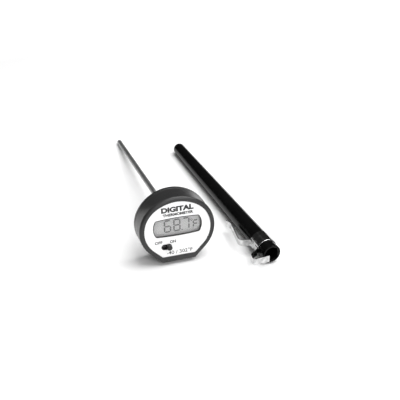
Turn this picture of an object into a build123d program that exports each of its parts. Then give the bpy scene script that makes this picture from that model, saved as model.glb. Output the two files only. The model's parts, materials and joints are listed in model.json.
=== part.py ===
from build123d import *
import os
from math import acos, asin, atan2, cos, degrees, hypot, radians, sin, sqrt

# Digital pocket thermometer with its clip-on sheath, in millimetres.
#
# Head frame: X right, Z up, Y runs from the front of the bezel (0) towards the tip of the stem.
# Sheath frame: X right, Z up, Y runs from the open mouth (0) towards the closed end.
# Assembly frame: both lie on the plane Z = 0, stem towards +Y, origin under the middle of the box.

# ---------------------------------------------------------------- driving dimensions: head
HALF_WIDTH = 20.5
HALF_HEIGHT = 18.2
SIDE_RADIUS = 17.2
FLAT_DROP = 18.5
FLAT_HALF = 8.9
CORNER_RADIUS = 2.0
HEAD_DEPTH = 14.2
SEAM_Y = 11.4
WALL = 1.6
CROWN_RISE = 0.9
FRONT_EDGE_RADIUS = 1.3
EDGE_RADIUS = 0.9

LABEL_INSET = 2.5
LABEL_FLAT_INSET = 3.5
LABEL_FRONT_Y = 0.3
LABEL_THICK = 0.3
FRONT_WALL_Y = 2.0

WINDOW_Z = 1.7
WINDOW_HALF_X = 11.8
WINDOW_HALF_Z = 4.8
WINDOW_SIDE_BULGE = 1.5
WINDOW_TOP_BULGE = 0.5
WINDOW_CORNER = 1.3
LENS_Y = 1.2
LENS_LIP = 1.1

GLASS_X = 28.0
GLASS_Z = 14.0
GLASS_Y0 = 2.3
GLASS_Y1 = 4.1
FILM = 0.2
BOARD_Y0 = 6.3
BOARD_Y1 = 7.3
BOARD_INSET = 3.4
BOSSES = [(-6.0, 13.0), (6.0, 13.0), (-9.5, -13.4), (9.5, -13.4)]
BOSS_RADIUS = 2.0
BOSS_STEP_RADIUS = 1.4
SCREW_RADIUS = 0.8
SCREW_HEAD_RADIUS = 1.5
SCREW_HEAD_Y = 12.9

# ---------------------------------------------------------------- driving dimensions: switch
SWITCH_OFF_X = -7.8
SWITCH_ON_X = -5.3
SWITCH_Z = -9.2
SLOT_RADIUS = 1.65
KNOB_RADIUS = 1.45
KNOB_REACH = 2.2
SLIDER_BACK = 4.3
SLIDER_HALF_Z = 2.0
SLIDER_THICK = 1.0
SLIDER_GAP = 0.05

# ---------------------------------------------------------------- driving dimensions: battery
CELL_Z = -9.4
CELL_RADIUS = 5.8
CELL_Y0 = 7.5
CELL_Y1 = 12.9
WELL_BORE = 6.0
WELL_OUTER = 7.4
WELL_Y0 = 7.6
NECK_BORE = 6.6
LUG_GROOVE = 7.15
LUG_Y0 = 11.7
LUG_Y1 = 12.3
LEDGE_Y = 12.7
DOOR_RECESS = 7.2
DOOR_RADIUS = 7.1
DOOR_Y0 = 13.2
DOOR_TURN = 45.0
RING_MAJOR = 6.9

# ---------------------------------------------------------------- driving dimensions: stem
STEM_RADIUS = 1.6
STEM_BORE = 1.2
NECK_RADIUS = 1.4
STEM_Z = 1.6
STEM_START = 9.0
STEM_END = 153.5
FERRULE_END = 18.5
BEAD_Y = 150.4
BEAD_RADIUS = 0.7
POTTING_START = 144.0
LEAD_X = 0.45
LEAD_RADIUS = 0.2

# ---------------------------------------------------------------- driving dimensions: sheath
SHEATH_LENGTH = 144.0
MOUTH_RADIUS = 5.25
MOUTH_BORE = 3.7
STRAIGHT_LENGTH = 17.0
END_RADIUS = 3.9
END_BORE = 2.4
END_WALL = 3.0
BAND_Y0 = 6.0
BAND_Y1 = 15.0
STRIP = 0.5
STRIP_HALF_WIDTH = 1.9
BAND_FIT = 0.02
BAND_SLIT = 0.8
LOOP_BENDS = [(5.6, 5.6), (11.2, 1.7), (12.3, -3.0)]
LOOP_RADII = [1.2, 1.6, 1.3]
LOOP_TIP = (3.0, -3.0)
TONGUE_BENDS = [(5.52, 14.7), (11.4, 16.6), (8.3, 34.5)]
TONGUE_RADII = [0.7, 2.6, 1.6]
TONGUE_TIP = (9.6, 38.0)

# ---------------------------------------------------------------- how the two lie on the surface
SHEATH_X = 46.5
SHEATH_Y = -17.3
SHEATH_YAW = 4.2


# ---------------------------------------------------------------- small helpers
def across(y):
    """Plane square to the depth axis at this depth: local x is X, local y is Z."""
    return Plane(origin=(0, y, 0), x_dir=(1, 0, 0), z_dir=(0, -1, 0))


def plate(shape, y0, y1):
    """Flat outline, drawn in X and Z, given depth from y0 to y1."""
    return extrude(across(y1) * shape, amount=y1 - y0)


def rod(radius, y0, y1, x=0.0, z=0.0):
    return Pos(x, (y0 + y1) / 2, z) * Rot(90, 0, 0) * Cylinder(radius, y1 - y0)


def block(x0, x1, y0, y1, z0, z1):
    centre = ((x0 + x1) / 2, (y0 + y1) / 2, (z0 + z1) / 2)
    return Pos(*centre) * Box(x1 - x0, y1 - y0, z1 - z0)


def edges_near_y(solid, y, reach=0.01):
    """Edges that lie wholly at this depth."""
    found = []
    for edge in solid.edges():
        box = edge.bounding_box()
        if abs(box.min.Y - y) < reach and abs(box.max.Y - y) < reach:
            found.append(edge)
    return found


def oval_outline(inset, flat_inset, corner=0.0, rise=0.0):
    """The head's outline: a four-arc oval whose lower sides run straight to a flat bottom."""
    height = HALF_HEIGHT + rise
    side_x = HALF_WIDTH - SIDE_RADIUS
    spread = side_x**2 + height**2 - SIDE_RADIUS**2
    top_radius = spread / (2 * (height - SIDE_RADIUS))
    top_z = height - top_radius
    lean = hypot(side_x, top_z)
    joint_x, joint_z = side_x / lean, -top_z / lean
    side = SIDE_RADIUS - inset
    top = top_radius - inset
    low_angle = atan2(-FLAT_DROP, FLAT_HALF - side_x)
    slant = low_angle + acos(SIDE_RADIUS / hypot(FLAT_HALF - side_x, FLAT_DROP))
    slant_x, slant_z = cos(slant), sin(slant)
    flat_z = -(FLAT_DROP - flat_inset)
    flat_x = side_x + (side - slant_z * flat_z) / slant_x
    touch = (side_x + slant_x * side, slant_z * side)
    middle = (side_x + side, 0.0)
    joint = (joint_x * top, top_z + joint_z * top)
    crown = (0.0, top_z + top)

    def left(point):
        return (-point[0], point[1])

    low_right = (flat_x, flat_z)
    edges = [
        Line(left(low_right), low_right),
        Line(low_right, touch),
        ThreePointArc(touch, middle, joint),
        ThreePointArc(joint, crown, left(joint)),
        ThreePointArc(left(joint), left(middle), left(touch)),
        Line(left(touch), left(low_right)),
    ]
    face = make_face(edges)
    if corner > 0:
        face = fillet(face.vertices().sort_by(Axis.Y)[:2], corner)
    return face


def casing(y0, y1):
    """Outside of the casing between two depths: its crown rises evenly towards the back."""
    sections = []
    for y in (y0, y1):
        outline = oval_outline(0, 0, CORNER_RADIUS, CROWN_RISE * y / HEAD_DEPTH)
        sections.append(across(y) * outline)
    return loft(sections, ruled=True)


def window_outline(grow=0.0):
    """The display opening: a rectangle with barrel sides and small round corners."""
    x = WINDOW_HALF_X + grow
    z = WINDOW_HALF_Z + grow
    low, high = WINDOW_Z - z, WINDOW_Z + z
    face = make_face([
        ThreePointArc((-x, low), (0, low - WINDOW_TOP_BULGE), (x, low)),
        ThreePointArc((x, low), (x + WINDOW_SIDE_BULGE, WINDOW_Z), (x, high)),
        ThreePointArc((x, high), (0, high + WINDOW_TOP_BULGE), (-x, high)),
        ThreePointArc((-x, high), (-x - WINDOW_SIDE_BULGE, WINDOW_Z), (-x, low)),
    ])
    return fillet(face.vertices(), WINDOW_CORNER + grow)


def switch_slot(radius):
    middle = (SWITCH_OFF_X + SWITCH_ON_X) / 2
    travel = SWITCH_ON_X - SWITCH_OFF_X
    return Pos(middle, SWITCH_Z) * SlotCenterToCenter(travel, 2 * radius)


def strip(points, radii):
    """Spring strip on edge: a bent ribbon, its path given as (distance left of the axis, Y)."""
    path = FilletPolyline(*[(-across_x, y) for across_x, y in points], radius=radii)
    ribbon = trace(path, STRIP)
    return Pos(0, 0, -STRIP_HALF_WIDTH) * extrude(ribbon, amount=2 * STRIP_HALF_WIDTH)


# ---------------------------------------------------------------- head: casing
def front_housing():
    """Cup-shaped black casing with the label recess, the display opening and the screw bosses."""
    body = casing(0, SEAM_Y)
    body = fillet(edges_near_y(body, 0), FRONT_EDGE_RADIUS)
    body = chamfer(edges_near_y(body, SEAM_Y), 0.3)
    body -= plate(oval_outline(WALL, WALL, CORNER_RADIUS / 2), FRONT_WALL_Y, SEAM_Y)
    for x, z in BOSSES:
        body += rod(BOSS_RADIUS, FRONT_WALL_Y, BOARD_Y0, x, z) & plate(
            oval_outline(WALL / 2, WALL / 2), 0, SEAM_Y)
        body += rod(BOSS_STEP_RADIUS, BOARD_Y0, SEAM_Y - 0.1, x, z)
    for x, z in BOSSES:
        body -= rod(SCREW_RADIUS, 4.0, SEAM_Y, x, z)
    recess = oval_outline(LABEL_INSET, LABEL_FLAT_INSET, 0.8)
    body -= plate(recess, 0, LABEL_FRONT_Y + LABEL_THICK)
    body -= plate(window_outline(), 0, FRONT_WALL_Y)
    body -= plate(window_outline(LENS_LIP), LENS_Y, FRONT_WALL_Y)
    body -= plate(switch_slot(SLOT_RADIUS), 0, FRONT_WALL_Y)
    groove = oval_outline(0.5, 0.5, CORNER_RADIUS - 0.5) - oval_outline(1.1, 1.1, CORNER_RADIUS - 1.1)
    return body - plate(groove, SEAM_Y - 0.4, SEAM_Y)


def back_cover():
    """Rear plate with the battery well, the door's bayonet seat and the hole for the ferrule."""
    body = casing(SEAM_Y, HEAD_DEPTH)
    body = fillet(edges_near_y(body, HEAD_DEPTH), EDGE_RADIUS)
    body = chamfer(edges_near_y(body, SEAM_Y), 0.3)
    body += rod(WELL_OUTER, WELL_Y0, SEAM_Y, 0, CELL_Z)
    body -= rod(WELL_BORE, WELL_Y0, SEAM_Y, 0, CELL_Z)
    body -= rod(NECK_BORE, SEAM_Y, LEDGE_Y, 0, CELL_Z)
    body -= rod(DOOR_RECESS, LEDGE_Y, HEAD_DEPTH, 0, CELL_Z)
    body -= rod(LUG_GROOVE, LUG_Y0, LUG_Y1, 0, CELL_Z)
    for turn in (0, 180):
        body -= door_lug(LUG_GROOVE, LUG_Y1, LEDGE_Y, turn - DOOR_TURN, 15)
    body -= block(WELL_BORE - 0.4, WELL_OUTER + 0.3, WELL_Y0, SEAM_Y - 0.4, CELL_Z - 1.7, CELL_Z + 1.7)
    body -= rod(2.6, SEAM_Y, HEAD_DEPTH, 0, STEM_Z)
    for x, z in BOSSES:
        body -= rod(SCREW_RADIUS, SEAM_Y, SCREW_HEAD_Y, x, z)
        body -= rod(SCREW_HEAD_RADIUS + 0.2, SCREW_HEAD_Y, HEAD_DEPTH, x, z)
    return body


def face_label():
    """Thin printed face plate in the recess, open at the display and the switch slot."""
    outline = oval_outline(LABEL_INSET + 0.05, LABEL_FLAT_INSET + 0.05, 0.75)
    sheet = outline - window_outline() - switch_slot(SLOT_RADIUS)
    return plate(sheet, LABEL_FRONT_Y, LABEL_FRONT_Y + LABEL_THICK)


def housing_gasket():
    ring = oval_outline(0.55, 0.55, CORNER_RADIUS - 0.55) - oval_outline(1.05, 1.05, CORNER_RADIUS - 1.05)
    return plate(ring, SEAM_Y - 0.4, SEAM_Y)


def housing_screws():
    """Four cross-head self-tapping screws, one solid each."""
    screws = []
    for x, z in BOSSES:
        head_back = HEAD_DEPTH - 0.3
        screw = rod(SCREW_RADIUS, 5.0, SCREW_HEAD_Y, x, z)
        screw += rod(SCREW_HEAD_RADIUS, SCREW_HEAD_Y, head_back, x, z)
        for half_x, half_z in ((0.9, 0.2), (0.2, 0.9)):
            screw -= block(x - half_x, x + half_x, head_back - 0.5, head_back, z - half_z, z + half_z)
        screws.append(screw)
    return screws


# ---------------------------------------------------------------- head: display and board
def lens_window():
    """Clear window, dropped into its seat from behind."""
    return plate(window_outline(LENS_LIP - 0.05), LENS_Y, FRONT_WALL_Y)


def centred_block(size_x, y0, y1, size_z, z=WINDOW_Z):
    return block(-size_x / 2, size_x / 2, y0, y1, z - size_z / 2, z + size_z / 2)


def lcd_glass():
    """Two bonded glass sheets: the front one is shorter, so that a contact ledge shows at each edge."""
    split = (GLASS_Y0 + GLASS_Y1) / 2
    return centred_block(GLASS_X, split, GLASS_Y1, GLASS_Z) + centred_block(
        GLASS_X, GLASS_Y0, split, GLASS_Z - 3.0)


def lcd_polariser():
    return centred_block(GLASS_X - 0.6, GLASS_Y0 - FILM, GLASS_Y0, GLASS_Z - 3.6)


def lcd_reflector():
    return centred_block(GLASS_X - 0.6, GLASS_Y1, GLASS_Y1 + FILM, 9.6)


def zebra_connectors():
    """Rubber contact strips between the glass ledges and the board."""
    strips = []
    for side in (-1, 1):
        strips.append(centred_block(25.0, GLASS_Y1, BOARD_Y0, 1.6, WINDOW_Z + side * 6.1))
    return strips


def lcd_frame():
    """Open plastic frame that holds the glass and the rubber strips square."""
    frame = centred_block(GLASS_X + 1.6, FRONT_WALL_Y, BOARD_Y0, GLASS_Z + 1.6)
    return frame - centred_block(GLASS_X, FRONT_WALL_Y, BOARD_Y0, GLASS_Z)


def circuit_board():
    board = plate(oval_outline(BOARD_INSET, BOARD_INSET, 1.0), BOARD_Y0, BOARD_Y1)
    for x, z in BOSSES:
        board -= rod(BOSS_STEP_RADIUS + 0.1, BOARD_Y0, BOARD_Y1, x, z)
    for x in (-LEAD_X, LEAD_X):
        board -= rod(LEAD_RADIUS, BOARD_Y0, BOARD_Y1, x, STEM_Z)
    return board


def chip_blob():
    """Epoxy dome over the bonded measuring chip, on the back of the board."""
    dome = Pos(-9.0, BOARD_Y1 - 2.6, 6.0) * Sphere(3.9)
    return dome & rod(4.0, BOARD_Y1, BOARD_Y1 + 2.0, -9.0, 6.0)


def chip_components():
    """Four small surface-mounted resistors and capacitors."""
    parts = []
    for x, z in ((8.0, 5.0), (11.2, 5.0), (8.0, 8.0), (11.2, 8.0)):
        parts.append(block(x - 1.0, x + 1.0, BOARD_Y1, BOARD_Y1 + 0.7, z - 0.6, z + 0.6))
    return parts


# ---------------------------------------------------------------- head: power switch
def switch_slider():
    """Sliding knob with its guide plate behind the front wall, drawn at ON."""
    y0 = FRONT_WALL_Y + SLIDER_GAP
    guide = block(SWITCH_ON_X - SLIDER_BACK, SWITCH_ON_X + SLIDER_BACK, y0, y0 + SLIDER_THICK,
                  SWITCH_Z - SLIDER_HALF_Z, SWITCH_Z + SLIDER_HALF_Z)
    knob = rod(KNOB_RADIUS, LABEL_FRONT_Y - KNOB_REACH, y0, SWITCH_ON_X, SWITCH_Z)
    knob = fillet(edges_near_y(knob, LABEL_FRONT_Y - KNOB_REACH), 0.45)
    return guide + knob


def switch_wiper():
    """Sprung bridge that the slider drags over the board's pads."""
    y0 = FRONT_WALL_Y + SLIDER_GAP + SLIDER_THICK
    x = SWITCH_ON_X
    y1 = BOARD_Y0 - 0.1
    bridge = block(x - 3.2, x + 3.2, y0, y0 + 0.2, SWITCH_Z - 1.2, SWITCH_Z + 1.2)
    for side in (-1, 1):
        near, far = sorted((x + side * 2.0, x + side * 2.2))
        bridge += block(near, far, y0, y1, SWITCH_Z - 1.2, SWITCH_Z + 1.2)
        near, far = sorted((x + side * 2.0, x + side * 3.2))
        bridge += block(near, far, y1 - 0.2, y1, SWITCH_Z - 1.2, SWITCH_Z + 1.2)
    return bridge


# ---------------------------------------------------------------- head: battery and door
def button_cell():
    """Button cell: stepped can with the smaller negative cap towards the board."""
    can = rod(CELL_RADIUS, CELL_Y0 + 0.6, CELL_Y1, 0, CELL_Z)
    can = fillet(edges_near_y(can, CELL_Y1), 0.3)
    return can + rod(CELL_RADIUS - 1.1, CELL_Y0, CELL_Y0 + 0.6, 0, CELL_Z)


def battery_contact_negative():
    return block(-9.0, 3.0, BOARD_Y1, CELL_Y0, CELL_Z - 1.5, CELL_Z + 1.5)


def battery_contact_positive():
    """Side contact: a foot on the board and a leaf that bears on the can."""
    leaf_x = CELL_RADIUS + 0.05
    leaf = block(leaf_x, leaf_x + 0.2, BOARD_Y1, 10.4, CELL_Z - 1.4, CELL_Z + 1.4)
    return leaf + block(leaf_x, leaf_x + 2.6, BOARD_Y1, CELL_Y0, CELL_Z - 1.4, CELL_Z + 1.4)


def door_lug(radius, y0, y1, turn, half_angle):
    """Sector of a ring about the door's axis, from the neck out to this radius."""
    reach = 12.0
    wedge_half = reach * sin(radians(half_angle))
    wedge = make_face([
        Line((0, 0), (reach * cos(radians(half_angle)), -wedge_half)),
        Line((reach * cos(radians(half_angle)), -wedge_half), (reach * cos(radians(half_angle)), wedge_half)),
        Line((reach * cos(radians(half_angle)), wedge_half), (0, 0)),
    ])
    ring = Circle(radius) - Circle(NECK_BORE - 0.3)
    sector = Pos(0, CELL_Z) * Rot(0, 0, turn) * (ring & wedge)
    return plate(sector, y0, y1)


def battery_door():
    """Coin-turned bayonet door, drawn locked: two lugs on its neck sit under the ledge."""
    door = rod(DOOR_RADIUS, DOOR_Y0, HEAD_DEPTH, 0, CELL_Z)
    door = fillet(edges_near_y(door, HEAD_DEPTH), 0.3)
    door += rod(NECK_BORE - 0.15, LUG_Y0 + 0.05, DOOR_Y0, 0, CELL_Z)
    for turn in (0, 180):
        door += door_lug(LUG_GROOVE - 0.1, LUG_Y0 + 0.05, LUG_Y1 - 0.05, turn, 12)
    door -= rod(CELL_RADIUS + 0.15, LUG_Y0, DOOR_Y0 - 0.1, 0, CELL_Z)
    coin_slot = Pos(0, CELL_Z) * SlotOverall(11.0, 1.8)
    return door - plate(coin_slot, HEAD_DEPTH - 0.6, HEAD_DEPTH)


def battery_door_seal():
    """O-ring under the door's flange, on the ledge."""
    radius = (DOOR_Y0 - LEDGE_Y) / 2 - 0.02
    return Pos(0, LEDGE_Y + radius, CELL_Z) * Rot(90, 0, 0) * Torus(RING_MAJOR, radius)


# ---------------------------------------------------------------- stem
def stem_ferrule():
    """Turned collar through the back cover, pressed on the stem, with a short tapered nose."""
    profile = make_face([
        Polyline((NECK_RADIUS, 10.2), (3.4, 10.2), (3.4, SEAM_Y), (2.6, SEAM_Y), (2.6, HEAD_DEPTH),
                 (3.0, HEAD_DEPTH), (3.0, 15.4), (2.1, FERRULE_END), (NECK_RADIUS, FERRULE_END),
                 (NECK_RADIUS, 10.2)),
    ])
    return Pos(0, 0, STEM_Z) * revolve(profile, Axis.Y)


def stem_tube():
    """Thin stainless tube: a reduced neck in the ferrule, a long shank and a closed round tip."""
    tip_y = STEM_END - STEM_RADIUS
    tip_mid = STEM_RADIUS * sqrt(0.5)
    bore_end = tip_y
    profile = make_face([
        Line((STEM_BORE, STEM_START), (NECK_RADIUS, STEM_START)),
        Line((NECK_RADIUS, STEM_START), (NECK_RADIUS, FERRULE_END)),
        Line((NECK_RADIUS, FERRULE_END), (STEM_RADIUS, FERRULE_END)),
        Line((STEM_RADIUS, FERRULE_END), (STEM_RADIUS, tip_y)),
        ThreePointArc((STEM_RADIUS, tip_y), (tip_mid, tip_y + tip_mid), (0, STEM_END)),
        Line((0, STEM_END), (0, bore_end)),
        Line((0, bore_end), (STEM_BORE, bore_end)),
        Line((STEM_BORE, bore_end), (STEM_BORE, STEM_START)),
    ])
    return Pos(0, 0, STEM_Z) * revolve(profile, Axis.Y)


def thermistor_bead():
    return Pos(0, BEAD_Y, STEM_Z) * Sphere(BEAD_RADIUS)


def thermistor_leads():
    """Two insulated leads from the board to the bead."""
    leads = []
    for x in (-LEAD_X, LEAD_X):
        reach = sqrt(BEAD_RADIUS**2 - LEAD_X**2)
        lead = rod(LEAD_RADIUS, BOARD_Y0, BEAD_Y - reach + 0.1, x, STEM_Z)
        leads.append(lead - thermistor_bead())
    return leads


def tip_potting():
    """Resin that fills the tip around the bead and the leads."""
    resin = rod(STEM_BORE, POTTING_START, STEM_END - STEM_RADIUS, 0, STEM_Z) - thermistor_bead()
    for x in (-LEAD_X, LEAD_X):
        resin -= rod(LEAD_RADIUS, POTTING_START, BEAD_Y, x, STEM_Z)
    return resin


# ---------------------------------------------------------------- sheath and clip
def sheath_tube():
    """Moulded tube: straight where the clip grips it, then tapered to a domed closed end."""
    dome_y = SHEATH_LENGTH - END_RADIUS
    dome_mid = END_RADIUS * sqrt(0.5)
    lead_in = 0.5
    rim = 0.4
    outside = MOUTH_RADIUS
    bore_end = SHEATH_LENGTH - END_WALL
    profile = make_face([
        Line((MOUTH_BORE + lead_in, 0), (outside - rim, 0)),
        Line((outside - rim, 0), (outside, rim)),
        Line((outside, rim), (outside, STRAIGHT_LENGTH)),
        Line((outside, STRAIGHT_LENGTH), (END_RADIUS, dome_y)),
        ThreePointArc((END_RADIUS, dome_y), (dome_mid, dome_y + dome_mid), (0, SHEATH_LENGTH)),
        Line((0, SHEATH_LENGTH), (0, bore_end)),
        Line((0, bore_end), (END_BORE, bore_end)),
        Line((END_BORE, bore_end), (MOUTH_BORE, STRAIGHT_LENGTH)),
        Line((MOUTH_BORE, STRAIGHT_LENGTH), (MOUTH_BORE, lead_in)),
        Line((MOUTH_BORE, lead_in), (MOUTH_BORE + lead_in, 0)),
    ])
    return revolve(profile, Axis.Y)


def pocket_clip():
    """One formed spring strip: split band, pocket tongue behind it and stem loop in front of it."""
    inner = MOUTH_RADIUS + BAND_FIT
    band = rod(inner + STRIP, BAND_Y0, BAND_Y1) - rod(inner, BAND_Y0, BAND_Y1)
    band -= block(0, inner + 2 * STRIP, BAND_Y0, BAND_Y1, -BAND_SLIT / 2, BAND_SLIT / 2)
    root = inner + STRIP / 2
    loop = strip([(root, BAND_Y0 + 3.0)] + LOOP_BENDS + [LOOP_TIP], LOOP_RADII)
    tongue = strip([(root, BAND_Y1 - 4.0)] + TONGUE_BENDS + [TONGUE_TIP], TONGUE_RADII)
    return band + loop + tongue


# ---------------------------------------------------------------- assembly
def head_tilt():
    """How far the stem slopes down when the rear bottom edge and the tip both touch the surface."""
    rise = FLAT_DROP - EDGE_RADIUS + STEM_Z
    run = (STEM_END - STEM_RADIUS) - (HEAD_DEPTH - EDGE_RADIUS)
    return degrees(atan2(rise, run) + asin((EDGE_RADIUS - STEM_RADIUS) / hypot(rise, run)))


def sheath_tilt():
    """How far the sheath slopes when the clip band and the closed end both touch the surface."""
    band = MOUTH_RADIUS + BAND_FIT + STRIP
    run = (SHEATH_LENGTH - END_RADIUS) - BAND_Y1
    return degrees(atan2(band, run) - asin(END_RADIUS / hypot(band, run)))


HEAD_NODES = {
    "front_housing": front_housing,
    "back_cover": back_cover,
    "face_label": face_label,
    "housing_gasket": housing_gasket,
    "housing_screws": housing_screws,
    "lens_window": lens_window,
    "lcd_glass": lcd_glass,
    "lcd_polariser": lcd_polariser,
    "lcd_reflector": lcd_reflector,
    "zebra_connectors": zebra_connectors,
    "lcd_frame": lcd_frame,
    "circuit_board": circuit_board,
    "chip_blob": chip_blob,
    "chip_components": chip_components,
    "switch_slider": switch_slider,
    "switch_wiper": switch_wiper,
    "button_cell": button_cell,
    "battery_contact_negative": battery_contact_negative,
    "battery_contact_positive": battery_contact_positive,
    "battery_door": battery_door,
    "battery_door_seal": battery_door_seal,
    "stem_ferrule": stem_ferrule,
    "stem_tube": stem_tube,
    "thermistor_bead": thermistor_bead,
    "thermistor_leads": thermistor_leads,
    "tip_potting": tip_potting,
}
SHEATH_NODES = {
    "sheath_tube": sheath_tube,
    "pocket_clip": pocket_clip,
}


def solids_of(made):
    """A function's result as a flat list of solids."""
    shapes = made if isinstance(made, list) else [made]
    return [solid for shape in shapes for solid in shape.solids()]


def build():
    """Every node as a list of solids, placed in the assembly frame, with the two placements used."""
    head_at = Rot(-head_tilt(), 0, 0)
    sheath_at = Pos(SHEATH_X, SHEATH_Y, 0) * Rot(0, 0, SHEATH_YAW) * Rot(-sheath_tilt(), 0, 0)
    groups = []
    for makers, place in ((HEAD_NODES, head_at), (SHEATH_NODES, sheath_at)):
        group = {name: [place * solid for solid in solids_of(make())] for name, make in makers.items()}
        low = min(solid.bounding_box().min.Z for solids in group.values() for solid in solids)
        groups.append({name: [Pos(0, 0, -low) * s for s in solids] for name, solids in group.items()})
        print("lift", round(-low, 4))
    boxes = [s.bounding_box() for group in groups for solids in group.values() for s in solids]
    middle_x = (min(b.min.X for b in boxes) + max(b.max.X for b in boxes)) / 2
    middle_y = (min(b.min.Y for b in boxes) + max(b.max.Y for b in boxes)) / 2
    print("middle", round(middle_x, 4), round(middle_y, 4))
    shift = Pos(-middle_x, -middle_y, 0)
    return {name: [shift * s for s in solids] for group in groups for name, solids in group.items()}


def main():
    os.makedirs("parts", exist_ok=True)
    nodes = build()
    for name, solids in nodes.items():
        export_step(solids[0] if len(solids) == 1 else Compound(solids), f"parts/{name}.step")
    print("head tilt", round(head_tilt(), 3), "sheath tilt", round(sheath_tilt(), 3))
    print(len(nodes), "nodes written")


main()
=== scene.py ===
import json
from math import cos, pi, radians, sin

import bmesh
import bpy
from mathutils import Matrix, Vector


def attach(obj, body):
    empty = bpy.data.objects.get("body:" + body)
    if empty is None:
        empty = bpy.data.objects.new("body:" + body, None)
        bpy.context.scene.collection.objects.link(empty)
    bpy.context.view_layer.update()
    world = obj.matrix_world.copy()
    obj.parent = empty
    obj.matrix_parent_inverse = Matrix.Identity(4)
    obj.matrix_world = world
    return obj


# Looks of the digital pocket thermometer and its sheath, in metres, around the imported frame.

MM = 0.001
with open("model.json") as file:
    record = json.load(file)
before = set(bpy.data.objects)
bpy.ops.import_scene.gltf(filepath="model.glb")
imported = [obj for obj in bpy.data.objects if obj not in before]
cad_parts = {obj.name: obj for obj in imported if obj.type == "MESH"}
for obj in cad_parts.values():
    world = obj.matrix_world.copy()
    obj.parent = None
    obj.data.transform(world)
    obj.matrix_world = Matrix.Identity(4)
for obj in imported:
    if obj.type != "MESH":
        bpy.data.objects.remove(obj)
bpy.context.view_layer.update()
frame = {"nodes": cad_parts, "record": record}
nodes = frame["nodes"]
record = frame["record"]


# ---------------------------------------------------------------- frames of the head and the sheath
def mount(name):
    return next(m for m in record["mounts"] if m["name"] == name)


# Place of the stem's middle in the head frame, in millimetres.
STEM_MIDDLE_Y = 85.2
STEM_Z = 1.6
STEM_AXIS = Vector(mount("stem_pin")["axis"]).normalized()
HEAD_RIGHT = Vector((1.0, 0.0, 0.0))
HEAD_UP = HEAD_RIGHT.cross(STEM_AXIS).normalized()
HEAD_ORIGIN = (Vector(mount("stem_pin")["pos_m"]) - STEM_AXIS * STEM_MIDDLE_Y * MM
               - HEAD_UP * STEM_Z * MM)


def head_matrix():
    """Head frame (X right, Y into the head, Z up, in metres) to row frame."""
    turn = Matrix((HEAD_RIGHT, STEM_AXIS, HEAD_UP)).transposed().to_4x4()
    return Matrix.Translation(HEAD_ORIGIN) @ turn


def on_face(x, z, depth):
    """Frame for something printed on the face: local x right, y up, z towards the reader.

    x, z and depth are in millimetres.
    """
    turn = Matrix((HEAD_RIGHT, HEAD_UP, -STEM_AXIS)).transposed().to_4x4()
    place = HEAD_ORIGIN + (HEAD_RIGHT * x + STEM_AXIS * depth + HEAD_UP * z) * MM
    return Matrix.Translation(place) @ turn


# Depths behind the front of the bezel, in millimetres, of the label, the lens and the display film.
LABEL_Y = 0.3
LENS_Y = 1.2
FILM_Y = 2.1


# ---------------------------------------------------------------- materials
class Look:
    """A node material built step by step around one Principled shader."""

    def __init__(self, name, colour, rough, metal=0.0, **sockets):
        self.material = bpy.data.materials.new(name)
        self.material.use_nodes = True
        self.tree = self.material.node_tree
        self.shader = self.tree.nodes["Principled BSDF"]
        self.shader.inputs["Base Color"].default_value = (*colour, 1.0)
        self.shader.inputs["Roughness"].default_value = rough
        self.shader.inputs["Metallic"].default_value = metal
        for socket, value in sockets.items():
            self.shader.inputs[socket.replace("_", " ")].default_value = value
        self.coords = self.node("ShaderNodeTexCoord").outputs["Object"]

    def node(self, kind, **values):
        made = self.tree.nodes.new(kind)
        for key, value in values.items():
            setattr(made, key, value)
        return made

    def link(self, output, target):
        self.tree.links.new(output, target)

    def stretched(self, scale):
        """Object coordinates scaled by axis, for grain that runs one way."""
        mapping = self.node("ShaderNodeMapping")
        mapping.inputs["Scale"].default_value = scale
        self.link(self.coords, mapping.inputs["Vector"])
        return mapping.outputs["Vector"]

    def noise(self, scale, detail=4.0, stretch=None):
        noise = self.node("ShaderNodeTexNoise")
        noise.inputs["Scale"].default_value = scale
        noise.inputs["Detail"].default_value = detail
        self.link(self.stretched(stretch) if stretch else self.coords, noise.inputs["Vector"])
        return noise.outputs["Fac"]

    def spread(self, value, low, high, start=0.3, stop=0.7):
        """A noise value stretched to run from low to high."""
        ranged = self.node("ShaderNodeMapRange")
        ranged.inputs["From Min"].default_value = start
        ranged.inputs["From Max"].default_value = stop
        ranged.inputs["To Min"].default_value = low
        ranged.inputs["To Max"].default_value = high
        self.link(value, ranged.inputs["Value"])
        return ranged.outputs["Result"]

    def colour(self, value, low, high, start=0.3, stop=0.7):
        ramp = self.node("ShaderNodeValToRGB")
        ramp.color_ramp.elements[0].position = start
        ramp.color_ramp.elements[1].position = stop
        ramp.color_ramp.elements[0].color = (*low, 1.0)
        ramp.color_ramp.elements[1].color = (*high, 1.0)
        self.link(value, ramp.inputs["Fac"])
        self.link(ramp.outputs["Color"], self.shader.inputs["Base Color"])

    def rough(self, value, low, high, start=0.3, stop=0.7):
        self.link(self.spread(value, low, high, start, stop), self.shader.inputs["Roughness"])

    def bump(self, value, distance, strength=1.0):
        bump = self.node("ShaderNodeBump")
        bump.inputs["Distance"].default_value = distance
        bump.inputs["Strength"].default_value = strength
        self.link(value, bump.inputs["Height"])
        self.link(bump.outputs["Normal"], self.shader.inputs["Normal"])


def grey(value):
    return (value, value, value)


def moulded_plastic(name, level, rough, grain=0.000012):
    """Satin moulded plastic: fine spark texture, faint colour drift, rubbed patches."""
    look = Look(name, grey(level), rough, **{"Specular_IOR_Level": 0.34})
    look.colour(look.noise(60.0, 3.0), grey(level * 0.9), grey(level * 1.12))
    look.rough(look.noise(220.0, 5.0), rough - 0.03, rough + 0.03)
    look.bump(look.noise(4200.0, 2.0), grain)
    return look.material


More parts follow.
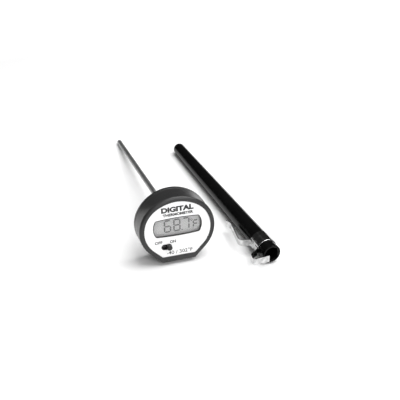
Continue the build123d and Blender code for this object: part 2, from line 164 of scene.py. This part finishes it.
def label_print():
    look = Look("label_white", grey(0.86), 0.42, **{"Specular_IOR_Level": 0.4})
    look.colour(look.noise(90.0, 4.0), grey(0.83), grey(0.88))
    look.rough(look.noise(900.0, 3.0), 0.38, 0.48)
    look.bump(look.noise(2600.0, 2.0), 0.000004)
    return look.material


def printed_ink(name="black_ink", level=0.012):
    look = Look(name, grey(level), 0.5)
    look.colour(look.noise(3000.0, 3.0), grey(level * 0.7), grey(level * 1.9))
    look.rough(look.noise(1500.0), 0.42, 0.58)
    return look.material


def window_plastic():
    look = Look("window_clear", grey(0.55), 0.08, **{"Alpha": 0.1, "IOR": 1.49})
    look.rough(look.noise(500.0, 4.0), 0.05, 0.12)
    look.bump(look.noise(700.0, 2.0), 0.000002)
    return look.material


def display_film():
    look = Look("display_film", grey(0.46), 0.35)
    look.colour(look.noise(140.0, 3.0), grey(0.44), grey(0.5))
    look.rough(look.noise(1800.0, 3.0), 0.3, 0.42)
    look.bump(look.noise(3000.0, 2.0), 0.000002)
    return look.material


def brushed_steel(name, level, rough, along, scratch=0.000003):
    """Drawn or brushed metal: fine lines along the piece, smudged polish."""
    look = Look(name, grey(level), rough, metal=1.0)
    lines = look.noise(900.0, 4.0, stretch=along)
    look.colour(look.noise(160.0, 4.0), grey(level * 0.86), grey(min(level * 1.1, 1.0)))
    look.rough(lines, rough - 0.06, rough + 0.1)
    look.bump(lines, scratch)
    return look.material


def gloss_sheath():
    look = Look("sheath_gloss_black", grey(0.003), 0.16, **{"IOR": 1.3, "Specular_IOR_Level": 0.3})
    look.colour(look.noise(45.0, 3.0), grey(0.002), grey(0.004))
    look.rough(look.noise(260.0, 5.0), 0.11, 0.22)
    look.bump(look.noise(320.0, 3.0), 0.000006)
    return look.material


def clip_chrome():
    look = Look("clip_chrome", grey(0.5), 0.07, metal=1.0)
    look.colour(look.noise(500.0, 4.0), grey(0.36), grey(0.66))
    look.rough(look.noise(420.0, 5.0), 0.04, 0.12)
    look.bump(look.noise(500.0, 3.0), 0.00001)
    return look.material


def plain_part(name, low, high, rough, metal=0.0, scale=400.0, depth=0.000006):
    """A small inner piece: two-tone mottled colour with a light grain."""
    look = Look(name, low, rough, metal=metal)
    look.colour(look.noise(scale, 4.0), low, high)
    look.rough(look.noise(scale * 2.0), max(rough - 0.08, 0.03), rough + 0.08)
    look.bump(look.noise(scale * 5.0), depth)
    return look.material


FLOOR_LIT_FROM = 0.3
FLOOR_LIT_TO = 0.75


def floor_surface():
    """Pale sweep that fades to white away from the object, as a lit studio backdrop does."""
    look = Look("studio_floor", grey(0.9), 0.6, **{"Specular_IOR_Level": 0.25})
    look.colour(look.noise(3.0, 2.0), grey(0.89), grey(0.91))
    reach = look.node("ShaderNodeVectorMath", operation="LENGTH")
    look.link(look.coords, reach.inputs[0])
    glow = look.spread(reach.outputs["Value"], 0.0, 1.0, FLOOR_LIT_FROM, FLOOR_LIT_TO)
    look.link(glow, look.shader.inputs["Emission Strength"])
    look.shader.inputs["Emission Color"].default_value = (1.0, 1.0, 1.0, 1.0)
    return look.material


HOUSING = moulded_plastic("housing_black", 0.026, 0.3)
COVER = moulded_plastic("cover_black", 0.024, 0.33)
INK = printed_ink()
SEGMENT_INK = printed_ink("segment_dark", 0.07)
MATERIALS = {
    "front_housing": HOUSING,
    "back_cover": COVER,
    "battery_door": COVER,
    "switch_slider": moulded_plastic("switch_black", 0.018, 0.3),
    "face_label": label_print(),
    "lens_window": window_plastic(),
    "lcd_polariser": display_film(),
    "lcd_glass": plain_part("display_glass", grey(0.3), grey(0.36), 0.1),
    "lcd_reflector": plain_part("reflector_foil", grey(0.6), grey(0.7), 0.35, metal=1.0),
    "zebra_connectors": plain_part("contact_rubber", (0.2, 0.1, 0.15), (0.35, 0.22, 0.3), 0.6),
    "lcd_frame": plain_part("frame_white", grey(0.6), grey(0.68), 0.45),
    "circuit_board": plain_part("board_green", (0.01, 0.12, 0.04), (0.02, 0.17, 0.07), 0.35),
    "chip_blob": plain_part("epoxy_black", grey(0.008), grey(0.02), 0.2),
    "chip_components": plain_part("chip_ceramic", (0.2, 0.14, 0.09), (0.3, 0.22, 0.15), 0.4),
    "switch_wiper": plain_part("wiper_gold", (0.7, 0.5, 0.2), (0.85, 0.65, 0.3), 0.25, metal=1.0),
    "button_cell": brushed_steel("cell_steel", 0.6, 0.3, (1.0, 1.0, 0.2)),
    "battery_contact_negative": brushed_steel("contact_nickel", 0.6, 0.28, (0.2, 1.0, 1.0)),
    "battery_contact_positive": brushed_steel("contact_nickel_side", 0.6, 0.28, (0.2, 1.0, 1.0)),
    "battery_door_seal": plain_part("seal_rubber", grey(0.015), grey(0.03), 0.55),
    "housing_gasket": plain_part("gasket_rubber", grey(0.015), grey(0.03), 0.6),
    "housing_screws": brushed_steel("screw_zinc", 0.5, 0.35, (1.0, 1.0, 1.0)),
    "stem_ferrule": brushed_steel("ferrule_nickel", 0.5, 0.25, (1.0, 0.1, 1.0)),
    "stem_tube": brushed_steel("stem_stainless", 0.4, 0.42, (1.0, 0.03, 1.0), 0.000001),
    "thermistor_bead": plain_part("bead_epoxy", grey(0.01), grey(0.03), 0.3),
    "thermistor_leads": plain_part("lead_red", (0.35, 0.02, 0.02), (0.5, 0.04, 0.04), 0.4),
    "tip_potting": plain_part("potting_resin", (0.4, 0.35, 0.22), (0.5, 0.45, 0.3), 0.5),
    "sheath_tube": gloss_sheath(),
    "pocket_clip": clip_chrome(),
}
for name, material in MATERIALS.items():
    mesh = nodes[name].data
    mesh.materials.clear()
    mesh.materials.append(material)


# ---------------------------------------------------------------- printing and display segments
PRINT_THICK = 0.04
PRINT_PROUD = 0.02
WELD_DISTANCE = 0.0005


def link(piece):
    bpy.context.scene.collection.objects.link(piece)
    return piece


def finished_mesh(name, mesh, material, matrix):
    """A mesh given in millimetres on the face, moved to its place with its object at the origin."""
    mesh.transform(matrix @ Matrix.Scale(MM, 4))
    mesh.update()
    mesh.materials.clear()
    mesh.materials.append(material)
    mesh.name = name
    return link(bpy.data.objects.new(name, mesh))


def lettering(name, text, x, z, height, width, bold):
    """Printed word, centred at this place of the face, stretched to this height and width."""
    curve = bpy.data.curves.new(name + "_curve", type="FONT")
    curve.body = text
    curve.align_x = "CENTER"
    curve.align_y = "CENTER"
    curve.offset = bold
    curve.resolution_u = 6
    curve.extrude = PRINT_THICK / 2
    holder = link(bpy.data.objects.new(name + "_holder", curve))
    bpy.context.view_layer.update()
    mesh = bpy.data.meshes.new_from_object(holder.evaluated_get(bpy.context.evaluated_depsgraph_get()))
    bpy.data.objects.remove(holder)
    xs = [v.co.x for v in mesh.vertices]
    ys = [v.co.y for v in mesh.vertices]
    scale_x = width / (max(xs) - min(xs))
    scale_y = height / (max(ys) - min(ys))
    centre = Vector(((max(xs) + min(xs)) / 2, (max(ys) + min(ys)) / 2, 0))
    for vertex in mesh.vertices:
        local = vertex.co - centre
        vertex.co = (local.x * scale_x, local.y * scale_y, local.z)
    build = bmesh.new()
    build.from_mesh(mesh)
    bmesh.ops.remove_doubles(build, verts=build.verts, dist=WELD_DISTANCE)
    build.to_mesh(mesh)
    build.free()
    depth = LABEL_Y - PRINT_PROUD + PRINT_THICK / 2
    piece = finished_mesh(name, mesh, INK, on_face(x, z, depth))
    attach(piece, "thermometer")


# Name, words, x and z of the middle, height and width in millimetres, and stroke weight.
PRINTED_WORDS = [
    ("print_word", "DIGITAL", 0.4, 11.7, 3.0, 17.5, 0.06),
    ("print_word_small", "THERMOMETER", 0.6, 8.8, 1.6, 16.5, 0.05),
    ("print_off", "OFF", -10.75, -6.1, 1.7, 4.1, 0.035),
    ("print_on", "ON", -3.0, -6.5, 1.7, 3.2, 0.035),
    ("print_range", "-40 / 302°F", 0.4, -12.8, 2.1, 14.2, 0.012),
]
for words in PRINTED_WORDS:
    lettering(*words)


def label_loops():
    """Ordered rims of the label's front face, as lists of (x, z) in millimetres."""
    to_face = (head_matrix() @ Matrix.Scale(MM, 4)).inverted()
    mesh = nodes["face_label"].data
    points = [to_face @ v.co for v in mesh.vertices]
    uses = {}
    for polygon in mesh.polygons:
        corners = [points[i] for i in polygon.vertices]
        if any(abs(c.y - LABEL_Y) > 0.01 for c in corners):
            continue
        keys = [(round(c.x, 3), round(c.z, 3)) for c in corners]
        for here, there in zip(keys, keys[1:] + keys[:1]):
            pair = tuple(sorted((here, there)))
            uses[pair] = uses.get(pair, 0) + 1
    beside = {}
    for (here, there), count in sorted(uses.items()):
        if count == 1:
            beside.setdefault(here, []).append(there)
            beside.setdefault(there, []).append(here)
    loops = []
    while beside:
        start = min(beside)
        loop, point, last = [], start, None
        while point in beside:
            loop.append(point)
            around = beside.pop(point)
            last, point = point, next((q for q in around if q in beside), None)
        loops.append(loop)
    return loops


def pushed_out(loop, amount):
    """The loop with every point moved away from the opening by this much."""
    count = len(loop)
    area = sum(loop[i][0] * loop[(i + 1) % count][1] - loop[(i + 1) % count][0] * loop[i][1]
               for i in range(count))
    turn = 1 if area > 0 else -1
    moved = []
    for i in range(count):
        before, after = Vector(loop[i - 1]), Vector(loop[(i + 1) % count])
        along = (after - before).normalized()
        moved.append((loop[i][0] + turn * along.y * amount, loop[i][1] - turn * along.x * amount))
    return moved


LINER_WIDE = 0.4
LINER_CLEARANCE = 0.03
OPENING_HALF_WIDE = 13.3
OPENING_SLACK = 1.0


def is_display_opening(loop):
    """Tells the display's opening from the label's outer rim and the switch slot."""
    middle = sum(x for x, z in loop) / len(loop)
    reach = max(x for x, z in loop)
    return abs(middle) < OPENING_SLACK and abs(reach - OPENING_HALF_WIDE) < OPENING_SLACK


def window_liner():
    """Near-black rim that lines the display opening from the label down to the lens: black like the
    housing plastic, and darker still as painted shade of the recess walls.
    """
    opening = next(loop for loop in label_loops() if is_display_opening(loop))
    outer = pushed_out(opening, -LINER_CLEARANCE)
    inner = pushed_out(opening, -LINER_WIDE)
    build = bmesh.new()
    ring_slab(build, outer, inner, 0.0, LENS_Y - LABEL_Y)
    bmesh.ops.recalc_face_normals(build, faces=build.faces)
    mesh = bpy.data.meshes.new("window_liner")
    build.to_mesh(mesh)
    build.free()
    # The lining takes the black ink: the housing's own black, darkened further as painted shade inside
    # the recess.
    piece = finished_mesh("window_liner", mesh, INK, on_face(0, 0, LENS_Y))
    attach(piece, "thermometer")


DIGIT_WIDE = 4.0
DIGIT_TALL = 7.1
DIGIT_Z = 1.75
# Figure, x and z of its middle, width and height, in millimetres.
READING = [
    ("6", -5.0, DIGIT_Z, DIGIT_WIDE, DIGIT_TALL),
    ("8", 0.1, DIGIT_Z, DIGIT_WIDE, DIGIT_TALL),
    ("7", 5.05, DIGIT_Z, DIGIT_WIDE, DIGIT_TALL),
    ("F", 10.3, 0.9, 3.2, 4.7),
]
POINT_AT = (2.75, DIGIT_Z - DIGIT_TALL / 2 + 0.35)
POINT_RADIUS = 0.36
DEGREE_AT = (8.1, 3.4)
DEGREE_OUTER = 0.65
DEGREE_INNER = 0.32
SEGMENT_THICK = 0.8
SEGMENT_GAP = 0.12
SEGMENT_LEAN = 0.03
SEGMENT_DEEP = 0.03
SEGMENT_PROUD = 0.01
# Lit segments of each figure: a top, b and c right, d bottom, e and f left, g middle.
FIGURES = {"6": "afgcde", "8": "abcdefg", "7": "abc", "F": "aefg"}


def bar(x0, z0, x1, z1):
    """Pointed display segment from one end to the other, as an outline."""
    along = Vector((x1 - x0, z1 - z0))
    unit = along.normalized()
    side = Vector((-unit.y, unit.x)) * SEGMENT_THICK / 2
    start = Vector((x0, z0)) + unit * SEGMENT_GAP
    stop = Vector((x1, z1)) - unit * SEGMENT_GAP
    nib = unit * SEGMENT_THICK / 2
    return [start, start + nib + side, stop - nib + side, stop, stop - nib - side, start + nib - side]


def figure_outlines(letter, x, z, wide, tall):
    """Outlines of a figure's lit segments, leaning a little to the right."""
    half_x = (wide - SEGMENT_THICK) / 2
    half_z = (tall - SEGMENT_THICK) / 2
    ends = {
        "a": (-half_x, half_z, half_x, half_z),
        "b": (half_x, half_z, half_x, 0),
        "c": (half_x, 0, half_x, -half_z),
        "d": (-half_x, -half_z, half_x, -half_z),
        "e": (-half_x, 0, -half_x, -half_z),
        "f": (-half_x, half_z, -half_x, 0),
        "g": (-half_x, 0, half_x, 0),
    }
    outlines = []
    for part in FIGURES[letter]:
        points = bar(*ends[part])
        outlines.append([(x + p.x + SEGMENT_LEAN * p.y, z + p.y) for p in points])
    return outlines


def disc_outline(x, z, radius, count=16):
    return [(x + radius * cos(2 * pi * i / count), z + radius * sin(2 * pi * i / count))
            for i in range(count)]


def slab(build, outline, back, front):
    """Closes an outline into a thin prism between two heights."""
    low = [build.verts.new((x, y, back)) for x, y in outline]
    high = [build.verts.new((x, y, front)) for x, y in outline]
    count = len(outline)
    build.faces.new(high)
    build.faces.new(low[::-1])
    for i in range(count):
        j = (i + 1) % count
        build.faces.new((low[i], low[j], high[j], high[i]))


def ring_slab(build, outer, inner, back, front):
    """Closes the band between two outlines with the same number of points into a thin ring."""
    rows = []
    for outline, height in ((outer, front), (inner, front), (inner, back), (outer, back)):
        rows.append([build.verts.new((x, y, height)) for x, y in outline])
    count = len(outer)
    for k in range(4):
        here, there = rows[k], rows[(k + 1) % 4]
        for i in range(count):
            j = (i + 1) % count
            build.faces.new((here[i], here[j], there[j], there[i]))


def display_segments():
    """The lit reading: figures, decimal point and degree ring, on the display film."""
    build = bmesh.new()
    outlines = [outline for figure in READING for outline in figure_outlines(*figure)]
    outlines.append(disc_outline(*POINT_AT, POINT_RADIUS))
    for outline in outlines:
        slab(build, outline, 0.0, SEGMENT_DEEP)
    outer = disc_outline(*DEGREE_AT, DEGREE_OUTER)
    inner = disc_outline(*DEGREE_AT, DEGREE_INNER)
    ring_slab(build, outer, inner, 0.0, SEGMENT_DEEP)
    bmesh.ops.recalc_face_normals(build, faces=build.faces)
    mesh = bpy.data.meshes.new("display_segments")
    build.to_mesh(mesh)
    build.free()
    piece = finished_mesh("display_segments", mesh, SEGMENT_INK, on_face(0, 0, FILM_Y - SEGMENT_PROUD))
    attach(piece, "thermometer")


display_segments()
window_liner()

# ---------------------------------------------------------------- rolled edge of the clip band
# Sizes in the sheath frame, in millimetres: the band's wall, its front, and the pocket_grip mount.
BAND_RADIUS = 5.52
BAND_FRONT_Y = 6.0
BAND_EDGE_RADIUS = 0.25
BAND_SLIT_HALF_ANGLE = 6.0
BAND_STEPS = 72
BAND_SIDES = 10
GRIP_AT = Vector((-6.6, 24.0, 0.0))


def sheath_matrix():
    """Sheath frame (Y from the mouth to the closed end, Z up, in metres) to row frame."""
    along = Vector(mount("pocket_grip")["axis"]).normalized()
    up = Vector(mount("stem_loop")["axis"]).normalized()
    right = along.cross(up).normalized()
    turn = Matrix((right, along, up)).transposed().to_4x4()
    place = Vector(mount("pocket_grip")["pos_m"]) - (turn @ (GRIP_AT * MM))
    return Matrix.Translation(place) @ turn


def band_edge():
    """Rounded front edge of the band, open at the slit on the right."""
    build = bmesh.new()
    sweep = 360.0 - 2 * BAND_SLIT_HALF_ANGLE
    rings = []
    for i in range(BAND_STEPS + 1):
        angle = radians(BAND_SLIT_HALF_ANGLE + sweep * i / BAND_STEPS)
        ring = []
        for j in range(BAND_SIDES):
            turn = 2 * pi * j / BAND_SIDES
            out = BAND_RADIUS + BAND_EDGE_RADIUS * cos(turn)
            ahead = BAND_FRONT_Y + BAND_EDGE_RADIUS * sin(turn)
            ring.append(build.verts.new((out * cos(angle), ahead, out * sin(angle))))
        rings.append(ring)
    for here, there in zip(rings, rings[1:]):
        for j in range(BAND_SIDES):
            k = (j + 1) % BAND_SIDES
            build.faces.new((here[j], here[k], there[k], there[j]))
    build.faces.new(rings[0])
    build.faces.new(rings[-1][::-1])
    bmesh.ops.recalc_face_normals(build, faces=build.faces)
    mesh = bpy.data.meshes.new("band_edge")
    build.to_mesh(mesh)
    build.free()
    for polygon in mesh.polygons:
        polygon.use_smooth = True
    piece = finished_mesh("band_edge", mesh, MATERIALS["pocket_clip"], sheath_matrix())
    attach(piece, "sheath")


band_edge()

# ---------------------------------------------------------------- floor, light and camera
FLOOR_SIZE = 3.0
FLOOR_CELLS = 24


def floor():
    build = bmesh.new()
    bmesh.ops.create_grid(build, x_segments=FLOOR_CELLS, y_segments=FLOOR_CELLS, size=FLOOR_SIZE / 2)
    mesh = bpy.data.meshes.new("studio_floor")
    build.to_mesh(mesh)
    build.free()
    mesh.materials.append(floor_surface())
    piece = link(bpy.data.objects.new("studio_floor", mesh))


def softbox(name, place, target, size, power):
    """Rectangular studio light in metres and watts, aimed at a point."""
    light = bpy.data.lights.new(name, "AREA")
    light.shape = "RECTANGLE"
    light.size, light.size_y = size
    light.energy = power
    lamp = link(bpy.data.objects.new(name, light))
    lamp.location = place
    lamp.rotation_euler = (Vector(target) - Vector(place)).to_track_quat("-Z", "Y").to_euler()


HORIZON_HEIGHT = 0.64
HORIZON_GLOW = 0.03
ZENITH_HEIGHT = 0.95
ZENITH_GLOW = 0.8


def world_light():
    """White backdrop, with a surround that is dark at the horizon and bright overhead for reflections."""
    world = bpy.data.worlds.new("studio")
    bpy.context.scene.world = world
    world.use_nodes = True
    tree = world.node_tree
    tree.nodes.clear()
    out = tree.nodes.new("ShaderNodeOutputWorld")
    mix = tree.nodes.new("ShaderNodeMixShader")
    seen = tree.nodes.new("ShaderNodeBackground")
    lit = tree.nodes.new("ShaderNodeBackground")
    path = tree.nodes.new("ShaderNodeLightPath")
    coords = tree.nodes.new("ShaderNodeTexCoord")
    split = tree.nodes.new("ShaderNodeSeparateXYZ")
    ramp = tree.nodes.new("ShaderNodeValToRGB")
    seen.inputs["Color"].default_value = (1.0, 1.0, 1.0, 1.0)
    ramp.color_ramp.elements[0].position = HORIZON_HEIGHT
    ramp.color_ramp.elements[0].color = (*grey(HORIZON_GLOW), 1.0)
    ramp.color_ramp.elements[1].position = ZENITH_HEIGHT
    ramp.color_ramp.elements[1].color = (*grey(ZENITH_GLOW), 1.0)
    tree.links.new(coords.outputs["Generated"], split.inputs["Vector"])
    tree.links.new(split.outputs["Z"], ramp.inputs["Fac"])
    tree.links.new(ramp.outputs["Color"], lit.inputs["Color"])
    tree.links.new(path.outputs["Is Camera Ray"], mix.inputs["Fac"])
    tree.links.new(lit.outputs["Background"], mix.inputs[1])
    tree.links.new(seen.outputs["Background"], mix.inputs[2])
    tree.links.new(mix.outputs["Shader"], out.inputs["Surface"])


FOCAL_PX = 700.0
IMAGE_PX = 400.0
SENSOR = 36.0
# From the floor point under the middle of the head's face.
CAMERA_FROM_FACE = Vector((-82.61, -296.52, 218.2)) * MM
CAMERA_PITCH = radians(30.37)
CAMERA_YAW = radians(17.71)


def camera():
    data = bpy.data.cameras.new("camera")
    data.sensor_width = SENSOR
    data.lens = SENSOR * FOCAL_PX / IMAGE_PX
    data.clip_start = 0.01
    data.clip_end = 20.0
    view = link(bpy.data.objects.new("camera", data))
    view.location = Vector((HEAD_ORIGIN.x, HEAD_ORIGIN.y, 0.0)) + CAMERA_FROM_FACE
    ahead = Vector((sin(CAMERA_YAW) * cos(CAMERA_PITCH), cos(CAMERA_YAW) * cos(CAMERA_PITCH),
                    -sin(CAMERA_PITCH)))
    view.rotation_euler = ahead.to_track_quat("-Z", "Y").to_euler()
    bpy.context.scene.camera = view


floor()
softbox("key_overhead", (0.34, -0.06, 0.82), (0.02, -0.02, 0.0), (0.9, 0.9), 10.5)
softbox("front_fill", (0.2, -1.1, 0.6), (0.0, 0.0, 0.02), (0.9, 0.6), 8.0)
world_light()
camera()
bpy.context.scene.view_settings.view_transform = "Standard"
